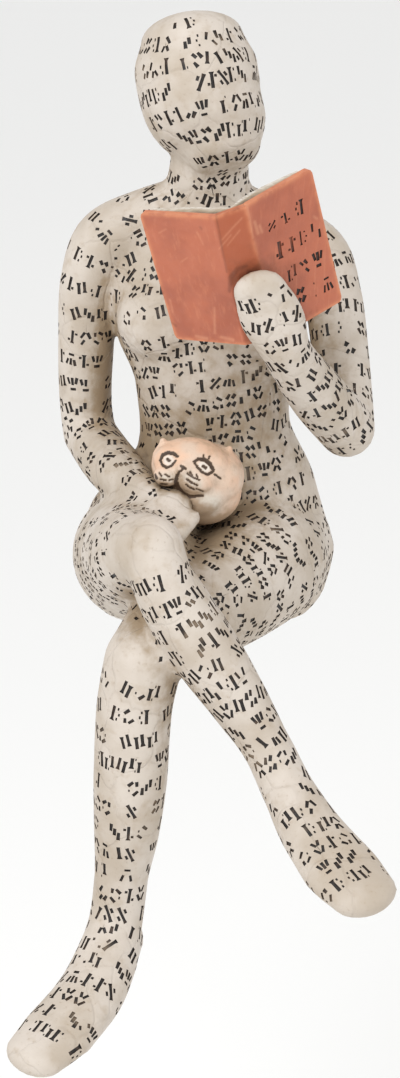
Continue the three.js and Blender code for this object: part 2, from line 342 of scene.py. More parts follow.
# The cat on the lap
CAT_TILT = math.radians(10)
CAT_BALLS = [
    (-1.9, -20, 31.2, 6.7, 5.2, 5.0, CAT_TILT), (-6.0, -23.4, 30.9, 2.2, 1.9, 1.8, CAT_TILT),
    (-1.4, -24.2, 30.1, 2.7, 1.9, 2.1, CAT_TILT), (-3.4, -24.4, 32.2, 1.3, 1.2, 1.5, CAT_TILT),
    (-5.4, -21.4, 32.9, 2.9, 2.4, 2.6, 0), (0.4, -21.6, 32.2, 3.4, 2.6, 2.8, 0),
    (1.3, -18.4, 29.6, 5.0, 5.6, 5.2, 0), (-0.2, -16.8, 26.8, 6.1, 6.8, 5.4, 0),
    (-1.2, -21.6, 27.4, 4.6, 3.6, 3.4, 0),
]
EARS = [(-6.3, -19.4, 34.2, -16), (3.1, -19, 33, 34)]
EAR_RADIUS = 3.0
EAR_HEIGHT = 4.0


def ear(x, y, z, lean):
    tip = np.array((0, 0, EAR_HEIGHT))
    rings = [(0, 0, -EAR_HEIGHT / 2, EAR_RADIUS, 2.0), (0, 0, 0, EAR_RADIUS * 0.7, 1.5),
             (0, 0, tip[2] / 2 - 0.6, 0.6, 0.6)]
    vertices, faces = limb(rings, sides=24)
    return vertices @ turn_y(math.radians(lean)).T + (x, y, z), faces


def make_cat():
    solids = [ball(*b) for b in CAT_BALLS] + [ear(*e) for e in EARS]
    piece = new_object("cat", *lowered(joined(solids)))
    mesh = fuse(piece, CAT_VOXEL)
    soften(mesh, 6, 90, width=0.006)
    return piece


# The open book. In its own frame the middle of the spine is at the origin, X runs along the spine's
# width, Y towards the reader and Z up the spine.
BOOK_HEIGHT = 23.7
COVER_WIDTH = 13.6
COVER_THICKNESS = 1.1
SPINE_WIDTH = 5.1
PAGE_WIDTH = 12.6
PAGE_THICKNESS = 1.5
PAGE_MARGIN = 0.6
PAGE_SWELL = 3.3
PAGE_SWELL_AT = 0.35
COVER_ANGLES = (math.radians(29), math.radians(39))
FOOT_NARROWING = 0.06
LEFT_DROP = 0.85
BOOK_TURN = np.array((Euler((math.radians(15), 0, 0)).to_matrix()
                      @ Euler((0, math.radians(-12.5), 0)).to_matrix()))
BOOK_FOOT = np.array((8.8, -32.4, 54.8 - SEAT_LEVEL))
CORNER_RADIUS = 0.8


def placed_book(points):
    """From the book's own frame to its place in the hand."""
    points = np.array(points, float)
    outward = np.minimum(points[:, 0] + SPINE_WIDTH / 2, 0)
    up = points[:, 2] / BOOK_HEIGHT
    points[:, 0] -= FOOT_NARROWING * (1 - up) * outward
    points[:, 2] -= LEFT_DROP * up * np.clip(0.5 - points[:, 0] / SPINE_WIDTH, 0, 1)
    return points @ BOOK_TURN.T + BOOK_FOOT


def cover_profile(s):
    """The outer line of the covers and spine at a distance s from the spine's middle: (x, y)."""
    half = SPINE_WIDTH / 2
    side = np.sign(s)
    angle = np.where(s < 0, *COVER_ANGLES)
    beyond = np.maximum(np.abs(s) - half, 0)
    x = side * (np.minimum(np.abs(s), half) + beyond * np.cos(angle))
    return x, beyond * np.sin(angle)


def cover_inward(s):
    """The direction from the outer line to the inner one, scaled so that both hinges stay square."""
    half = SPINE_WIDTH / 2
    angle = np.where(s < 0, *COVER_ANGLES) * np.clip((np.abs(s) - half) / 0.6 + 0.5, 0, 1)
    return -np.sign(s) * np.sin(angle), np.cos(angle)


def make_covers():
    reach = SPINE_WIDTH / 2 + COVER_WIDTH
    s = np.linspace(-reach, reach, 145)
    z = np.linspace(0, 1, 97)
    cut = CORNER_RADIUS - np.sqrt(np.maximum(
        CORNER_RADIUS ** 2 - np.maximum(np.abs(s) - reach + CORNER_RADIUS, 0) ** 2, 0))
    x, y = cover_profile(s)
    inx, iny = cover_inward(s)
    layers = []
    for depth in (0, COVER_THICKNESS):
        gx, gy = x + inx * depth, y + iny * depth
        height = cut[:, None] + z[None, :] * (BOOK_HEIGHT - 2 * cut[:, None])
        layers.append(np.stack([gx[:, None] + 0 * height, gy[:, None] + 0 * height, height], -1))
    ns, nz = len(s), len(z)
    index = np.arange(2 * ns * nz).reshape(2, ns, nz)
    faces = []
    for i in range(ns - 1):
        for j in range(nz - 1):
            a, b, c, d = index[0, i:i + 2, j:j + 2].ravel()
            faces.append((a, c, d, b))
            a, b, c, d = index[1, i:i + 2, j:j + 2].ravel()
            faces.append((a, b, d, c))
    rim = [*index[:, :, 0].T, *index[:, -1, 1:].T, *index[:, -2::-1, -1].T, *index[:, 0, -2:0:-1].T]
    for k in range(len(rim)):
        (a, b), (c, d) = rim[k], rim[(k + 1) % len(rim)]
        faces.append((a, b, d, c))
    piece = new_object("book", placed_book(np.concatenate([g.reshape(-1, 3) for g in layers])), faces)
    rim_gap = np.minimum(reach - np.abs(s)[:, None], np.minimum(z, 1 - z)[None, :] * BOOK_HEIGHT)
    hinge_gap = np.abs(np.abs(s) - SPINE_WIDTH / 2)[:, None] + 0 * rim_gap
    edge = np.exp(-(rim_gap / 0.45) ** 2) + 0.6 * np.exp(-(hinge_gap / 0.4) ** 2) * (s > 0)[:, None]
    spine = np.clip((SPINE_WIDTH / 2 + 0.3 - np.abs(s)) / 0.6, 0, 1)[:, None] + 0 * rim_gap
    return piece, np.tile(edge.ravel(), 2), np.tile(spine.ravel(), 2)


def make_pages():
    """The pages are two swelling blocks of leaves that meet in the gutter."""
    half = SPINE_WIDTH / 2
    rows = 25
    outline = []
    for side, angle in ((-1, COVER_ANGLES[0]), (1, COVER_ANGLES[1])):
        out = np.array((side * math.cos(angle), math.sin(angle)))
        inward = np.array((-side * math.sin(angle), math.cos(angle)))
        corner = np.array((side * half, 0))
        foot = corner + out * PAGE_WIDTH + inward * COVER_THICKNESS * 0.5
        top = corner + out * PAGE_WIDTH + inward * (COVER_THICKNESS + PAGE_THICKNESS)
        swell = corner + out * PAGE_WIDTH * PAGE_SWELL_AT + inward * (COVER_THICKNESS + PAGE_SWELL)
        gutter = np.array((0, COVER_THICKNESS + PAGE_THICKNESS))
        w = np.linspace(0, 1, rows)[:, None]
        arch = (1 - w) ** 2 * top + 2 * w * (1 - w) * swell + w ** 2 * gutter
        under = np.array((side * half / 2, COVER_THICKNESS * 0.5))
        outline.append((under, foot, arch))
    left, right = outline
    section = np.vstack([left[1], left[0], right[0], right[1], right[2], left[2][-2::-1]])
    n = len(section)
    heights = (PAGE_MARGIN, BOOK_HEIGHT - PAGE_MARGIN)
    vertices = [(x, y, h) for h in heights for x, y in section]
    faces = [tuple(range(n))[::-1], tuple(range(n, 2 * n))]
    faces += [(k, (k + 1) % n, (k + 1) % n + n, k + n) for k in range(n)]
    return new_object("pages", placed_book(vertices), faces)


# The print. Each mark is a few separate strokes, and none of them is a letter. A stroke is a list of
# points (across, up, half width), in a box MARK_WIDTH wide and MARK_HEIGHT high.
MARK_WIDTH = 1.8
MARK_HEIGHT = 2.0
MARKS = [
    [[(0.9, 0, 0.4), (0.9, 0.3, 0.23), (0.9, 2, 0.25)], [(0.05, 1.5, 0.2), (0.5, 1.5, 0.17)],
     [(1.3, 0.5, 0.17), (1.75, 0.5, 0.2)]],
    [[(0.2, 0.45, 0.36), (0.32, 0.8, 0.22), (0.75, 2, 0.24)],
     [(1.05, 0, 0.24), (1.45, 1.2, 0.22), (1.6, 1.6, 0.36)]],
    [[(0.1, 1.35, 0.2), (0.95, 1.9, 0.24)], [(0.8, 0.1, 0.2), (1.65, 0.6, 0.24)],
     [(0.25, 0.1, 0.24), (0.25, 0.75, 0.2)], [(1.4, 1.2, 0.2), (1.65, 1.2, 0.2)]],
    [[(0.1, 1.0, 0.2), (0.7, 1.9, 0.24)], [(1.1, 1.9, 0.24), (1.7, 1.0, 0.2)],
     [(0.3, 0.0, 0.2), (0.75, 0.75, 0.22)], [(1.1, 0.75, 0.22), (1.5, 0, 0.2)]],
    [[(0.35, 2, 0.42), (0.35, 1.65, 0.22), (0.35, 0.05, 0.25)], [(1.0, 1.65, 0.2), (1.3, 1.65, 0.2)],
     [(1.3, 1.0, 0.22), (1.6, 1.0, 0.22)], [(1.0, 0.3, 0.2), (1.3, 0.3, 0.2)]],
    [[(0.05, 1.9, 0.22), (0.36, 0.95, 0.2)], [(0.9, 1.9, 0.24), (0.9, 0.8, 0.2)],
     [(1.75, 1.9, 0.22), (1.44, 0.95, 0.2)], [(0.4, 0.2, 0.2), (1.4, 0.2, 0.2)]],
    [[(0.3, 0.5, 0.38), (0.3, 0.85, 0.22), (0.3, 2, 0.24)],
     [(1.5, 0, 0.24), (1.5, 1.1, 0.22), (1.5, 1.5, 0.38)],
     [(0.75, 1.82, 0.18), (0.95, 1.82, 0.18)], [(0.85, 0.18, 0.18), (1.05, 0.18, 0.18)]],
    [[(0.2, 1.9, 0.24), (0.75, 1.3, 0.22)], [(1.1, 1.9, 0.34), (1.6, 1.25, 0.2)],
     [(0.15, 0.85, 0.3), (0.7, 0.1, 0.2)], [(1.05, 0.75, 0.24), (1.6, 0.15, 0.24)]],
    [[(0.2, 1.0, 0.22), (0.2, 2.0, 0.28)], [(0.87, 0.55, 0.24), (0.87, 1.5, 0.24)],
     [(1.55, 0, 0.28), (1.55, 1.05, 0.22)]],
    [[(0.15, 1.9, 0.3), (0.45, 1.5, 0.22), (1.35, 0.45, 0.22), (1.65, 0.1, 0.3)],
     [(1.1, 1.8, 0.2), (1.5, 1.3, 0.2)], [(0.25, 0.8, 0.2), (0.65, 0.3, 0.2)]],
]
MARK_PITCH = 2.25
BOLDNESS = 1.18
WORN_AWAY = 0.08
STROKE_DEPTH = 0.15
STROKE_RISE = 0.3
STROKE_LIP = 0.03
STROKE_FLOOR = 0.86
CLEARANCE = 0.08
REACH = 2.5
SPECK_POINTS = 50


class Patch:
    """A small piece of the surface, seen straight on: a point, and directions across, up and out."""

    def __init__(self, tree, point, up, out):
        self.tree = tree
        self.point = Vector(point)
        self.out = Vector(out).normalized()
        self.up = (Vector(up) - self.out * Vector(up).dot(self.out)).normalized()
        self.across = self.up.cross(self.out)

    def hit(self, a, b):
        start = self.point + self.across * a + self.up * b + self.out * REACH
        place, _, _, distance = self.tree.ray_cast(start, -self.out, 2 * REACH)
        if place is None or abs(distance - REACH) > 0.9:
            return None
        return place


class View:
    """The surface as the photograph's camera sees it. Places are in pixels of the 400 x 1078 frame."""

    def __init__(self, tree):
        self.tree = tree
        self.across = Vector((1, 0, 0))
        self.up = Vector((0, math.sin(ELEVATION), math.cos(ELEVATION)))
        self.out = self.across.cross(self.up)
        self.eye = Vector(TARGET) + self.out * DISTANCE

    def hit(self, a, b):
        seen = Vector(TARGET) + (self.across * (a - 200) + self.up * (539 - b)) * MM_PER_PIXEL
        return self.tree.ray_cast(self.eye, (seen - self.eye).normalized())[0]


SIDES = 6


class Strokes:
    """Closed cutters that lie in a surface. No two of them touch."""

    def __init__(self):
        self.vertices = []
        self.faces = []
        self.taken = {}
        self.marks = 0

    def is_free(self, points, own):
        for p, w in points:
            cell = tuple(math.floor(c) for c in p)
            for dx in (-1, 0, 1):
                for dy in (-1, 0, 1):
                    for dz in (-1, 0, 1):
                        for q, v, mark in self.taken.get((cell[0] + dx, cell[1] + dy, cell[2] + dz), ()):
                            if mark != own and (p - q).length < w + v + CLEARANCE:
                                return False
        return True

    def add(self, surface, line, own, depth=STROKE_DEPTH):
        """One stroke along a line of (across, up, half width). True if there was room for it."""
        places = [Vector(p[:2]) for p in line]
        edges = []
        for k, (a, b, width) in enumerate(line):
            before, after = places[max(k - 1, 0)], places[min(k + 1, len(line) - 1)]
            way = (after - before).normalized()
            left = Vector((-way.y, way.x)) * width
            pair = [surface.hit(a + left.x, b + left.y), surface.hit(a - left.x, b - left.y)]
            if None in pair:
                return False
            edges.append(pair)
        samples = []
        for k in range(len(edges) - 1):
            a, b = (sum(edges[k + j], Vector()) / 2 for j in (0, 1))
            half = [(edges[k + j][0] - edges[k + j][1]).length / 2 for j in (0, 1)]
            count = max(2, math.ceil((b - a).length / 0.35) + 1)
            samples += [(a.lerp(b, i / (count - 1)), half[0] + (half[1] - half[0]) * i / (count - 1))
                        for i in range(count)]
        if not self.is_free(samples, own):
            return False
        for p, w in samples:
            self.taken.setdefault(tuple(math.floor(c) for c in p), []).append((p, w, own))
        self.solid(edges, surface.out, depth)
        return True

    def solid(self, edges, out, depth):
        """A closed cutter: straight above the surface, and narrowing to its floor below it."""
        start = len(self.vertices)
        for left, right in edges:
            middle = (left + right) / 2
            floor = middle - out * depth
            half = (left - right) / 2
            self.vertices += [
                left + out * STROKE_RISE, right + out * STROKE_RISE, right + out * STROKE_LIP,
                floor - half * STROKE_FLOOR, floor + half * STROKE_FLOOR, left + out * STROKE_LIP,
            ]
        for k in range(len(edges) - 1):
            for i in range(SIDES):
                a, b = start + SIDES * k + i, start + SIDES * k + (i + 1) % SIDES
                self.faces.append((b, b + SIDES, a + SIDES, a))
        last = start + SIDES * (len(edges) - 1)
        self.faces.append(tuple(range(start + SIDES - 1, start - 1, -1)))
        self.faces.append(tuple(range(last, last + SIDES)))


def tree_of(*pieces):
    vertices, faces, start = [], [], 0
    for piece in pieces:
        points = points_of(piece.data)
        vertices += points.tolist()
        faces += [[i + start for i in polygon.vertices] for polygon in piece.data.polygons]
        start += len(points)
    return BVHTree.FromPolygons(vertices, faces)


def stamp(strokes, patch, dice, tall, boldness=BOLDNESS):
    """One mark, turned and mirrored at random, and as much taller than its box as tall says."""
    mark = dice.choice(MARKS)
    mirror = dice.choice((-1, 1))
    flip = dice.choice((-1, 1))
    turn = math.radians(dice.uniform(-6, 6))
    cos, sin = math.cos(turn), math.sin(turn)
    strokes.marks += 1
    for line in mark:
        bold = boldness * dice.uniform(0.85, 1.1)
        if dice.random() < WORN_AWAY:
            continue
        placed = []
        for a, b, w in line:
            a, b = (a - MARK_WIDTH / 2) * mirror, (b - MARK_HEIGHT / 2) * flip * tall
            placed.append((a * cos - b * sin, a * sin + b * cos, w * bold))
        strokes.add(patch, placed, strokes.marks)


def print_limb(strokes, tree, rings, rows, dice):
    """Rows of marks run round a limb, across its own direction."""
    first, last, pitch, tall, slope, slack = rows
    fine = np.linspace(0, 1, 400)
    centres = curve(np.asarray(rings, float)[:, :3], fine)
    run = np.r_[0, np.cumsum(np.linalg.norm(np.diff(centres, axis=0), axis=1))]
    row = first * run[-1]
    while row < last * run[-1]:
        start = dice.uniform(0, 1)
        turned, word, lift = 0.0, dice.randint(3, 7), 0.0
        while turned < 2 * math.pi:
            t = np.interp(row + lift, run, fine)
            centre, side, through, along, wide, deep = (x[0] for x in limb_frame(rings, np.array([t])))
            a = start + turned
            lift = slope * wide[0] * math.cos(a)
            around = side * wide * math.cos(a) + through * deep * math.sin(a)
            step = side * -wide * math.sin(a) + through * deep * math.cos(a)
            turned += MARK_PITCH / np.linalg.norm(step)
            word -= 1
            if word < 0:
                word = dice.randint(3, 7)
                continue
            place, normal, _, distance = tree.find_nearest(Vector(centre + around - (0, 0, SEAT_LEVEL)))
            outward = Vector(unit(np.cross(step, along)))
            outward = outward if outward.dot(Vector(around)) > 0 else -outward
            if distance > slack or normal.dot(outward) < 0.6:
                continue
            if any((place - Vector(b[:3])).length < b[3] for b in BLANKS) or noise.noise(place / 9) > 0.5:
                continue
            up = Vector(along) if along[2] > -0.05 else -Vector(along)
            stamp(strokes, Patch(tree, place, up, normal), dice, tall * dice.uniform(0.95, 1.05))
        row += pitch


# The head's print runs round a straighter line than the head itself.
HEAD_PRINT = [
    (2.6, -5.4, 78.6, 5.6, 6.0), (1.7, -4.6, 83, 8.4, 9.4), (0.5, -3.4, 88, 9.8, 10.9),
    (-0.7, -2.0, 93, 9.9, 11.1), (-1.6, -0.7, 98, 8.2, 9.4), (-2.3, 0.2, 102.6, 5.0, 6.0),
]
# The rows of print on each limb: the share of its length they start and end at, the distance between
# rows, how tall the marks are, the rows' slope, and how far the surface may be from the limb's own
ROWS = {
    "head": (0.0, 1.0, 3.9, 1.32, 0.0, 2.6), "torso": (0.0, 0.97, 3.1, 1.12, 0.15, 3.4),
    "left_arm": (0.08, 1.0, 4.2, 1.12, 0.03, 1.5), "left_forearm": (0.02, 0.98, 3.9, 1.12, 0.05, 1.5),
    "right_arm": (0.08, 1.0, 3.8, 1.12, -0.04, 1.5), "right_forearm": (0.02, 1.0, 4.0, 1.3, 0.08, 1.5),
    "left_thigh": (0.05, 0.97, 3.4, 1.12, 0.05, 1.8), "right_thigh": (0.05, 1.0, 3.4, 1.12, -0.05, 1.8),
    "crossing_leg": (0.07, 0.98, 3.9, 1.32, 0.06, 1.5), "hanging_leg": (0.04, 0.98, 4.0, 1.28, -0.05, 1.5),
}
# The places without print: x, y, z and a radius
BLANKS = [(-8.4, -46, 27.5, 4.2), (12.5, -53, -13, 3.4), (24.8, -71, -25.5, 4.2), (-27.5, -60.5, -55, 4.0)]


def print_skin(tree):
    dice = random.Random(SEED)
    strokes = Strokes()
    for name, rows in ROWS.items():
        print_limb(strokes, tree, HEAD_PRINT if name == "head" else LIMBS[name], rows, dice)
    return strokes


# Lines painted on the cat's face: x, y and half width, in pixels of the 400 x 1078 frame
CAT_LINES = [
    [(160.2, 460.5, 1.0), (162.6, 455, 1.7), (167.6, 452.6, 1.8), (173, 453.2, 1.7), (177.4, 456.4, 1.1)],
    [(160.2, 460.5, 1.0), (162, 464.8, 1.1), (166.4, 467.4, 1.2), (171.4, 465.8, 1.1), (175.6, 460.6, 0.9)],
    [(167.6, 459.4, 1.4), (169.2, 460.6, 1.4)],
    [(194, 461.6, 1.0), (198.6, 459, 1.7), (204.6, 459.6, 2.0), (210, 463.8, 2.0), (213.4, 470, 1.5)],
    [(194.6, 462.6, 0.9), (197.4, 467.4, 1.1), (202, 472, 1.1), (208, 474.6, 1.4), (212.6, 471.6, 1.2)],
    [(203.6, 466.2, 1.6), (205.6, 467.8, 1.6)],
    [(203.6, 457.6, 0.8), (203.8, 454.4, 0.6)], [(208.6, 458.6, 0.8), (209.8, 455.8, 0.6)],
    [(214.8, 474.4, 1.0), (220.6, 478.6, 0.8)],
    [(180.6, 465.4, 1.0), (183.4, 467.6, 1.7), (185.4, 468.6, 1.1)],
    [(183.6, 468.8, 0.9), (179.2, 472, 1.1), (177, 476, 1.5), (175.8, 481.6, 1.9), (178, 488.2, 2.1),
     (183.4, 494.4, 2.0), (190, 496.8, 1.6), (203, 495.6, 0.8)],
    [(154.6, 481, 1.0), (157.4, 486.6, 1.5), (163, 489.6, 1.6), (170, 488.6, 1.5), (175.6, 485.6, 1.3)],
    [(155, 474.6, 0.9), (156.4, 478.4, 1.3)], [(159, 472.6, 0.8), (161.4, 476, 0.9)],
    [(160.6, 479.4, 0.9), (165.6, 480.4, 0.7)], [(164.6, 474.2, 0.8), (169.6, 476.8, 0.7)],
    [(161, 484, 0.8), (167, 484.4, 0.7)], [(169.4, 480.2, 0.7), (172.8, 479.4, 0.7)],
    [(187.4, 473.4, 0.9), (193, 477.4, 0.8), (199.6, 480.2, 0.6)],
    [(186.6, 479, 0.9), (191.4, 482.8, 0.9), (197.4, 485.4, 0.6)],
    [(186, 484.6, 0.8), (189.6, 487.6, 0.9), (194.8, 489.8, 0.6)],
    [(190, 471.6, 0.7), (192, 475, 0.8)], [(196.4, 474, 0.7), (197.8, 478.6, 0.7)],
    [(196, 488.8, 0.6), (203.4, 491.6, 0.5)],
]
CAT_WHITES = [[(168.4, 460.2, 5.4), (169, 460.4, 5.4)], [(203.6, 466.4, 5.6), (205, 467.2, 5.6)]]
CAT_MUZZLE = [[(163.6, 480, 9), (192, 484, 12)], [(200, 500, 12), (207, 506, 16)]]
# Marks of wear on the book, in the same way, and then painted shadow and shade with a few stains
BOOK_SCRATCHES = [
    [(214.4, 308, 0.8), (214.8, 333, 1.0)], [(254.6, 222, 1.6), (258, 233, 1.8)],
    [(259.6, 226, 1.4), (262, 232, 1.2)], [(222, 240, 0.4), (236, 224, 0.5)],
    [(225, 236, 0.4), (242, 218, 0.5)], [(219, 249, 0.4), (231, 235, 0.4)],
    [(227, 246, 0.3), (240, 230, 0.4)], [(196, 336, 1.2), (207, 338.6, 1.5)],
    [(221, 337, 1.4), (233, 340, 1.6)], [(246.8, 204, 1.0), (249.6, 218, 0.8), (253, 238, 0.7)],
    [(314, 216.6, 0.9), (317, 218.8, 0.9)], [(159, 233, 0.5), (166, 229, 0.4)],
    [(181, 262, 0.4), (187, 258, 0.5)], [(170, 300, 0.5), (173, 312, 0.4)],
    [(197, 232, 0.4), (203, 244, 0.4)],
]
# A painted shadow round the hand's top-left, painted shade along the left hinge, a dark band at the spine's
# top, and small stains
BOOK_STAINS_AND_SHADOWS = [
    [(229.6, 291, 1.6), (230.6, 278, 2.4), (237.4, 269, 2.4), (247, 265.6, 1.4)],
    [(216.2, 216, 0.7), (221.6, 246, 0.9), (227, 272, 0.8)],
    [(221, 211, 1.2), (238, 208, 1.6)], [(161, 290, 0.8), (163, 293, 0.9)],
    [(171, 322, 0.8), (176, 326, 0.8)], [(200, 227, 0.7), (201.6, 229, 0.7)],
]
LINE_BLUR = 0.9
LINE_DEPTH = 0.1
GROOVE_DEPTH = 0.3
# The marks on the book's right cover: where, in pixels, how tall, and how bold
COVER_MARKS = [
    (272, 226, 0.75, 0.75), (285.5, 218, 0.9, 0.85), (298.7, 208, 1.3, 1.3),
    (280, 250, 1.45, 1.35), (292, 244.5, 1.3, 1.2), (303.5, 237, 1.2, 0.7), (316, 230.5, 1.35, 0.95),
    (292, 273, 1.3, 0.85), (304.5, 267, 1.25, 1), (318, 259, 1.35, 1.35), (330, 254, 1.3, 1.3),
    (301, 295.5, 1.35, 1.35), (315, 289.5, 1.3, 1.1), (327.5, 284, 1.25, 1), (338.5, 283, 0.6, 0.8),
]
COVER_ROW = (4, -1.8)
# The dark grooves between the fingers by the cat
FINGER_LINES = [
    [(163.4, 501.6, 0.9), (160.4, 506.4, 1.1), (157.2, 511, 0.7)],
    [(174.4, 508.6, 0.9), (169.6, 513.4, 1.1), (165.4, 517.6, 0.7)],
    [(185, 515, 0.8), (181.4, 519.6, 0.9), (178.6, 524, 0.6)],
]


def seen_at(points):
    """Where the photograph's camera sees each point, in pixels of the 400 x 1078 frame."""
    up = np.array((0, math.sin(ELEVATION), math.cos(ELEVATION)))
    out = np.array((0, -math.cos(ELEVATION), math.sin(ELEVATION)))
    away = points - TARGET - out * DISTANCE
    scale = DISTANCE / -(away @ out) / MM_PER_PIXEL
    return np.c_[200 + away[:, 0] * scale, 539 - (away @ up) * scale]


def painted(points, normals, lines, blur=LINE_BLUR):
    """How much of a painted line each point of a piece has, from 0 to 1."""
    spots = seen_at(points)
    paint = np.zeros(len(points))
    for line in lines:
        for (x0, y0, w0), (x1, y1, w1) in zip(line, line[1:]):
            start, way = np.array((x0, y0)), np.array((x1 - x0, y1 - y0))
            share = np.clip((spots - start) @ way / (way @ way), 0, 1)
            away = np.linalg.norm(spots - start - share[:, None] * way, axis=1)
            width = w0 + (w1 - w0) * share
            paint = np.maximum(paint, np.clip((width + blur - away) / (2 * blur), 0, 1))
    facing = -normals[:, 1] * math.cos(ELEVATION) + normals[:, 2] * math.sin(ELEVATION)
    return paint * np.clip(facing / 0.2, 0, 1)


def paint_cat(cat):
    """The cat's lines are pressed a little into it."""
    mesh = cat.data
    points, normals = points_of(mesh), normals_of(mesh)
    lines = painted(points, normals, CAT_LINES)
    whites = painted(points, normals, CAT_WHITES, 1.5)
    muzzle = painted(points, normals, CAT_MUZZLE, 6)
    set_points(mesh, points - normals * (lines * LINE_DEPTH)[:, None])
    return {"lines": lines, "whites": whites, "muzzle": muzzle}


def print_cover(tree):
    dice = random.Random(SEED + 1)
    strokes = Strokes()
    view = View(tree)
    for x, y, tall, bold in COVER_MARKS:
        here, ahead = view.hit(x, y), view.hit(x + COVER_ROW[0], y + COVER_ROW[1])
        if here is None or ahead is None:
            continue
        normal = tree.find_nearest(here)[1]
        stamp(strokes, Patch(tree, here, normal.cross(ahead - here), normal), dice, tall, bold)
    return strokes


def draw(strokes, view, lines, depth):
    for line in lines:
        strokes.marks += 1
        strokes.add(view, line, strokes.marks, depth)


def drop_specks(mesh):
    """Cutting can leave loose bits of a few points where two surfaces nearly touch. They go."""
    shape = bmesh.new()
    shape.from_mesh(mesh)
    seen, specks = set(), []
    for start in shape.verts:
        if start in seen:
            continue
        seen.add(start)
        part = [start]
        for point in part:
            for edge in point.link_edges:
                other = edge.other_vert(point)
                if other not in seen:
                    seen.add(other)
                    part.append(other)
        if len(part) < SPECK_POINTS:
            specks += part
    bmesh.ops.delete(shape, geom=specks, context="VERTS")
    shape.to_mesh(mesh)
    shape.free()


def carve(piece, strokes, name):
    """Cuts the strokes out of the piece. The cut faces take the second material."""
    cutter = new_object(name, [tuple(v) for v in strokes.vertices], strokes.faces)
    cutter.data.materials.append(piece.data.materials[1])
    cut = piece.modifiers.new("strokes", "BOOLEAN")
    cut.operation = "DIFFERENCE"
    cut.solver = "MANIFOLD"
    cut.object = cutter
    cut.material_mode = "TRANSFER"
    drop_specks(bake_modifiers(piece))
    mesh = cutter.data
    bpy.data.objects.remove(cutter)
    bpy.data.meshes.remove(mesh)


def place_camera():
    forward = np.array((0, math.cos(ELEVATION), -math.sin(ELEVATION)))
    data = bpy.data.cameras.new("camera")
    camera = bpy.data.objects.new("camera", data)
    camera.location = (TARGET - forward * DISTANCE) * MM
    camera.rotation_euler = (math.pi / 2 - ELEVATION, 0, 0)
    data.sensor_fit = "AUTO"
    data.sensor_width = SENSOR
    data.lens = DISTANCE * SENSOR / (PHOTO_HEIGHT * MM_PER_PIXEL)
    bpy.context.scene.collection.objects.link(camera)
    bpy.context.scene.camera = camera


def soft_light(name, place, size, power):
    data = bpy.data.lights.new(name, "AREA")
    data.size = size
    data.energy = power
    light = bpy.data.objects.new(name, data)
    light.location = place
    light.rotation_euler = (Vector((0, -0.02, 0.02)) - Vector(place)).to_track_quat("-Z", "Y").to_euler()
    bpy.context.scene.collection.objects.link(light)


def make_studio():
    world = bpy.data.worlds.new("studio")
    world.use_nodes = True
    world.node_tree.nodes["Background"].inputs["Color"].default_value = (1, 1, 1, 1)
    world.node_tree.nodes["Background"].inputs["Strength"].default_value = 0.85
    bpy.context.scene.world = world
    soft_light("key", (-0.35, -0.6, 0.6), 0.5, 4)
    soft_light("fill", (0.6, -0.5, 0.25), 0.6, 0.8)
    size, level = 3.0, -0.12
    floor = new_object("floor", np.array([(-size, -size, level), (size, -size, level),
                                          (size, size, level), (-size, size, level)]) / MM, [(0, 1, 2, 3)])
    material = bpy.data.materials.new("floor")
    material.use_nodes = True
    material.node_tree.nodes["Principled BSDF"].inputs["Base Color"].default_value = (0.95, 0.95, 0.94, 1)
    floor.data.materials.append(material)
    bpy.context.scene.view_settings.view_transform = "Standard"


def srgb(code):
    """A colour such as "D8CDC2" as the numbers that a shader takes."""
    parts = [int(code[k:k + 2], 16) / 255 for k in (0, 2, 4)]
    return (*(c / 12.92 if c <= 0.04045 else ((c + 0.055) / 1.055) ** 2.4 for c in parts), 1)


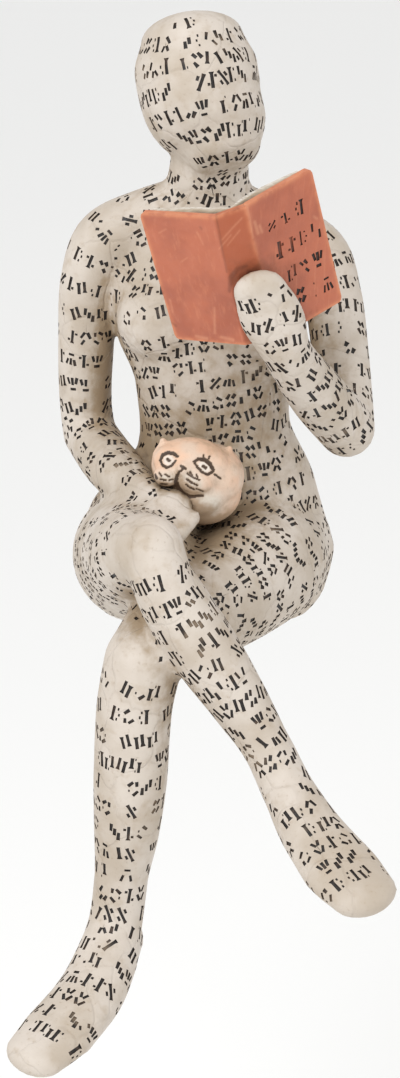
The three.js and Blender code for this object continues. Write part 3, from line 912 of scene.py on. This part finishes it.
class Look:
    """A material, with its nodes made one after another. Places are in millimetres."""

    def __init__(self, name):
        self.material = bpy.data.materials.new(name)
        self.material.use_nodes = True
        self.tree = self.material.node_tree
        self.shader = self.tree.nodes["Principled BSDF"]
        spot = self.tree.nodes.new("ShaderNodeTexCoord")
        scale = self.tree.nodes.new("ShaderNodeVectorMath")
        scale.operation = "SCALE"
        scale.inputs["Scale"].default_value = 1 / MM
        self.tree.links.new(spot.outputs["Object"], scale.inputs[0])
        self.place = scale.outputs[0]

    def give(self, socket, value):
        if isinstance(value, bpy.types.NodeSocket):
            self.tree.links.new(value, socket)
        else:
            socket.default_value = value

    def attribute(self, name):
        node = self.tree.nodes.new("ShaderNodeAttribute")
        node.attribute_name = name
        return node.outputs["Fac"]

    def grain(self, scale, detail=2.0, roughness=0.5, stretch=None):
        """Noise from 0 to 1, with scale features to a millimetre."""
        place = self.place
        if stretch:
            node = self.tree.nodes.new("ShaderNodeVectorMath")
            node.operation = "MULTIPLY"
            self.tree.links.new(place, node.inputs[0])
            node.inputs[1].default_value = stretch
            place = node.outputs[0]
        node = self.tree.nodes.new("ShaderNodeTexNoise")
        self.tree.links.new(place, node.inputs["Vector"])
        node.inputs["Scale"].default_value = scale
        node.inputs["Detail"].default_value = detail
        node.inputs["Roughness"].default_value = roughness
        return node.outputs["Fac"]

    def sheets(self, scale, wobble):
        """Cells like torn sheets of paper: the distance to a sheet's edge."""
        bend = self.tree.nodes.new("ShaderNodeTexNoise")
        self.tree.links.new(self.place, bend.inputs["Vector"])
        bend.inputs["Scale"].default_value = scale * 2
        push = self.tree.nodes.new("ShaderNodeVectorMath")
        push.operation = "MULTIPLY_ADD"
        self.tree.links.new(bend.outputs["Color"], push.inputs[0])
        push.inputs[1].default_value = (wobble, wobble, wobble)
        self.tree.links.new(self.place, push.inputs[2])
        cells = self.tree.nodes.new("ShaderNodeTexVoronoi")
        cells.feature = "DISTANCE_TO_EDGE"
        cells.inputs["Scale"].default_value = scale
        self.tree.links.new(push.outputs[0], cells.inputs["Vector"])
        return cells.outputs["Distance"]

    def math(self, operation, a, b=0.0):
        node = self.tree.nodes.new("ShaderNodeMath")
        node.operation = operation
        self.give(node.inputs[0], a)
        self.give(node.inputs[1], b)
        return node.outputs[0]

    def between(self, value, low, high, start=0.0, end=1.0):
        """The value, smoothed from start at low to end at high."""
        node = self.tree.nodes.new("ShaderNodeMapRange")
        node.interpolation_type = "SMOOTHSTEP"
        self.give(node.inputs["Value"], value)
        for name, number in (("From Min", low), ("From Max", high), ("To Min", start), ("To Max", end)):
            node.inputs[name].default_value = number
        return node.outputs[0]

    def mix(self, share, a, b):
        node = self.tree.nodes.new("ShaderNodeMix")
        node.data_type = "RGBA"
        for socket, value in ((node.inputs[0], share), (node.inputs[6], a), (node.inputs[7], b)):
            self.give(socket, srgb(value) if isinstance(value, str) else value)
        return node.outputs[2]

    def bump(self, height, distance):
        """Distance is how high, in millimetres, a height of 1 stands."""
        node = self.tree.nodes.new("ShaderNodeBump")
        node.inputs["Strength"].default_value = 1
        node.inputs["Distance"].default_value = distance * MM
        self.give(node.inputs["Height"], height)
        self.tree.links.new(node.outputs[0], self.shader.inputs["Normal"])

    def finish(self, color, roughness):
        self.give(self.shader.inputs["Base Color"], color)
        self.give(self.shader.inputs["Roughness"], roughness)
        return self.material


def wash_and_shade(look, color, shade_tan, deep, strength=1.0):
    """The brown antique wash lies in the creases with painted shade, and painted shade lies in the hollows,
    in blotches.
    """
    blotch = look.math("MULTIPLY", look.math("SUBTRACT", look.grain(0.5, 3, 0.6), 0.5), 0.6)
    hollow_shade = look.math("ADD", look.attribute("hollow_shade"), blotch)
    crease_wash_and_shade = look.math("ADD", look.attribute("crease_wash_and_shade"), blotch)
    # Painted shade: the hollows, closed in further off, turn tan.
    color = look.mix(look.between(hollow_shade, 0.05, 0.44, 0, 0.9 * strength), color, shade_tan)
    # The creases take the brown antique wash, made darker still by painted shade.
    color = look.mix(look.between(crease_wash_and_shade, 0.22, 0.72, 0, 0.95 * strength), color, deep)
    return color


def skin_look():
    look = Look("skin")
    color = look.mix(look.between(look.grain(0.1, 3), 0.35, 0.7), "CCC2B7", "B6A999")
    color = look.mix(look.between(look.grain(0.35, 3, 0.6), 0.5, 0.75, 0, 0.45), color, "AE9D88")
    color = look.mix(look.between(look.grain(1.4, 3, 0.6), 0.6, 0.78, 0, 0.4), color, "94806A")
    sheets = look.sheets(0.09, 3.5)
    edge = look.between(sheets, 0.0, 0.018, 1, 0)
    seen_edge = look.math("MULTIPLY", edge, look.between(look.grain(0.2), 0.4, 0.6, 0.0, 0.15))
    color = look.mix(seen_edge, color, "7D6A54")
    # Brown wash and painted shade in the creases, and painted shade in the hollows.
    color = wash_and_shade(look, color, "9B866B", "46331F")
    height = look.math("ADD", look.math("MULTIPLY", look.grain(1.1, 4, 0.6), 0.5), look.grain(0.3, 2))
    look.bump(look.math("ADD", height, look.between(sheets, 0.0, 0.03, 0, 0.5)), 0.16)
    return look.finish(color, look.between(look.grain(0.7, 2), 0.3, 0.7, 0.5, 0.68))


def ink_look(name, dark, worn, bare, rim):
    """Printed ink, brown at a stroke's rim, rubbed, and here and there nearly off."""
    look = Look(name)
    color = look.mix(look.between(look.grain(0.8, 3, 0.6), 0.5, 0.74), dark, worn)
    color = look.mix(look.between(look.grain(0.13, 2), 0.58, 0.72, 0, 0.8), color, bare)
    color = look.mix(look.between(look.attribute("ink"), 0.1, 0.9, 0.85, 0), color, rim)
    look.bump(look.grain(1.5, 3), 0.05)
    return look.finish(color, look.between(look.grain(0.9), 0.3, 0.7, 0.45, 0.65))


def cat_look():
    look = Look("cat")
    warm = look.math("SUBTRACT", 1.0, look.math("MULTIPLY", look.attribute("muzzle"), 0.9))
    peach = look.mix(look.between(look.grain(0.22, 2), 0.35, 0.65), "DDB79B", "D8C0AC")
    color = look.mix(warm, "D3CCC0", peach)
    color = look.mix(look.between(look.grain(1.2, 3, 0.6), 0.55, 0.75, 0, 0.35), color, "B39A82")
    color = look.mix(look.math("MULTIPLY", look.attribute("whites"), 0.85), color, "E0D8CE")
    # Brown wash and painted shade in the creases, and painted shade in the hollows.
    color = wash_and_shade(look, color, "A88E73", "46331F")
    streak = look.between(look.grain(1.3, 3, 0.6), 0.35, 0.7, 0.85, 0.5)
    color = look.mix(look.math("MULTIPLY", look.attribute("lines"), streak), color, "3A271B")
    look.bump(look.grain(0.9, 4, 0.6), 0.12)
    return look.finish(color, look.between(look.grain(0.8), 0.3, 0.7, 0.45, 0.6))


def book_look():
    look = Look("book")
    color = look.mix(look.between(look.grain(0.16, 3), 0.35, 0.68), "B5664A", "A45A42")
    streaks = look.grain(0.5, 3, 0.6, stretch=(2.4, 2.4, 0.25))
    color = look.mix(look.between(streaks, 0.52, 0.75, 0, 0.4), color, "C67C5C")
    color = look.mix(look.attribute("spine"), color, "A35434")
    patches = look.between(look.grain(0.5, 3), 0.3, 0.6, 0.25, 1.0)
    worn = look.math("MULTIPLY", look.attribute("edge"), patches)
    color = look.mix(look.math("MULTIPLY", worn, 0.75), color, "D48961")
    # Brown wash and painted shade in the creases, and painted shade in the hollows.
    color = wash_and_shade(look, color, "8A4B31", "38190F", 0.85)
    color = look.mix(look.math("MULTIPLY", look.attribute("scratches"), 0.35), color, "DC9C78")
    # Painted shadow by the hand and painted shade at the hinge, with a few dark stains
    color = look.mix(look.math("MULTIPLY", look.attribute("stains_and_shadows"), 0.4), color, "4E2517")
    height = look.math("ADD", look.math("MULTIPLY", streaks, 0.5), look.grain(0.7, 3))
    look.bump(height, 0.12)
    return look.finish(color, look.between(look.grain(0.6), 0.3, 0.7, 0.42, 0.6))


def pages_look():
    look = Look("pages")
    leaves = look.grain(2.2, 2, 0.5, stretch=(0.3, 2.6, 0.3))
    color = look.mix(look.between(leaves, 0.42, 0.62), "DAD3C8", "BDB2A3")
    # Brown wash and painted shade in the creases, and painted shade in the hollows.
    color = wash_and_shade(look, color, "A8957C", "5A4735")
    look.bump(leaves, 0.12)
    return look.finish(color, look.between(look.grain(0.7), 0.3, 0.7, 0.5, 0.66))


# How closed in a point is gets measured by rays, for creases up to NEAR and for hollows up to FAR. The
# materials paint it as the brown wash and as shade.
NEAR = 5.0
FAR = 38.0
HOLLOW_RAYS = 18
RAY_START = 0.05
GOLDEN_ANGLE = math.pi * (3 - math.sqrt(5))
SHARP_ANGLE = math.radians(40)


def shade_and_wash_depth(points, normals, tree):
    """How far each point is closed in, near by and further off, from 0 to 1."""
    rays = []
    for k in range(HOLLOW_RAYS):
        height = math.sqrt(1 - (k + 0.5) / HOLLOW_RAYS)
        angle = k * GOLDEN_ANGLE
        wide = math.sqrt(1 - height * height)
        rays.append((wide * math.cos(angle), wide * math.sin(angle), height))
    found = np.zeros((len(points), 2))
    for k, (p, n) in enumerate(zip(points.tolist(), normals.tolist())):
        p, n = Vector(p), Vector(n)
        turn = n.to_track_quat("Z", "Y").to_matrix()
        start = p + n * RAY_START
        near = far = 0.0
        for ray in rays:
            distance = tree.ray_cast(start, turn @ Vector(ray), FAR)[3]
            if distance is not None:
                far += 1 - distance / FAR
                near += max(0.0, 1 - distance / NEAR)
        found[k] = near, far
    return found / HOLLOW_RAYS


def normals_of(mesh):
    normals = np.empty(len(mesh.vertices) * 3)
    mesh.vertices.foreach_get("normal", normals)
    return normals.reshape(-1, 3)


def give(mesh, name, values):
    layer = mesh.attributes.new(name, "FLOAT", "POINT")
    layer.data.foreach_set("value", np.asarray(values, np.float32))


def nearest(points, others):
    """For each of the points, the number of the nearest of the others."""
    tree = KDTree(len(others))
    for k, p in enumerate(others.tolist()):
        tree.insert(p, k)
    tree.balance()
    return np.array([tree.find(p)[1] for p in points.tolist()])


def dress(piece, made, looks, tree, extra=None):
    """Carves the strokes made for a piece, and gives it its materials and the attributes they read."""
    mesh = piece.data
    points, normals = points_of(mesh), normals_of(mesh)
    # How closed in each point is. The materials paint this as wash and as shade.
    shade_and_wash = shade_and_wash_depth(points, normals, tree)
    for look in looks:
        mesh.materials.append(look)
    if made is not None:
        carve(piece, made, piece.name + "_strokes")
    mesh = piece.data
    match = nearest(points_of(mesh), points)
    give(mesh, "crease_wash_and_shade", shade_and_wash[match, 0])
    give(mesh, "hollow_shade", shade_and_wash[match, 1])
    inked = np.ones(len(mesh.vertices))
    for polygon in mesh.polygons:
        if polygon.material_index == 0:
            inked[list(polygon.vertices)] = 0
    give(mesh, "ink", inked)
    for name, values in (extra or {}).items():
        give(mesh, name, values[match])
    mesh.shade_smooth()
    mesh.set_sharp_from_angle(angle=SHARP_ANGLE)


place_camera()
make_studio()
woman = make_skin()
cat = make_cat()
book, book_edges, book_spine = make_covers()
pages = make_pages()
# All four pieces block the rays, so each piece gets painted shade where the others close it in.
everything = tree_of(woman, cat, book, pages)
woman_tree = tree_of(woman)
strokes = print_skin(woman_tree)
draw(strokes, View(woman_tree), FINGER_LINES, GROOVE_DEPTH)
dress(woman, strokes, [skin_look(), ink_look("ink", "16100C", "4E3B2D", "8B7863", "4A3829")], everything)
dress(cat, None, [cat_look()], everything, paint_cat(cat))
covers, outward = points_of(book.data), normals_of(book.data)
# The book's wear, and its painted shadow and shade
book_wear_and_shadows = {
    "edge": book_edges, "spine": book_spine,
    "scratches": painted(covers, outward, BOOK_SCRATCHES), "stains_and_shadows": painted(covers, outward, BOOK_STAINS_AND_SHADOWS),
}
book_ink = ink_look("book_ink", "1E120E", "4F2819", "8B4A33", "7A3A26")
dress(book, print_cover(tree_of(book)), [book_look(), book_ink], everything, book_wear_and_shadows)
dress(pages, None, [pages_look()], everything)
SLOTS = ((woman, "printed_resin"), (cat, "cat_resin"), (book, "book_orange"), (pages, "printed_resin"))
for piece, slot in SLOTS:
    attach(piece, "root")
    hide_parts("reading_woman_figurine")
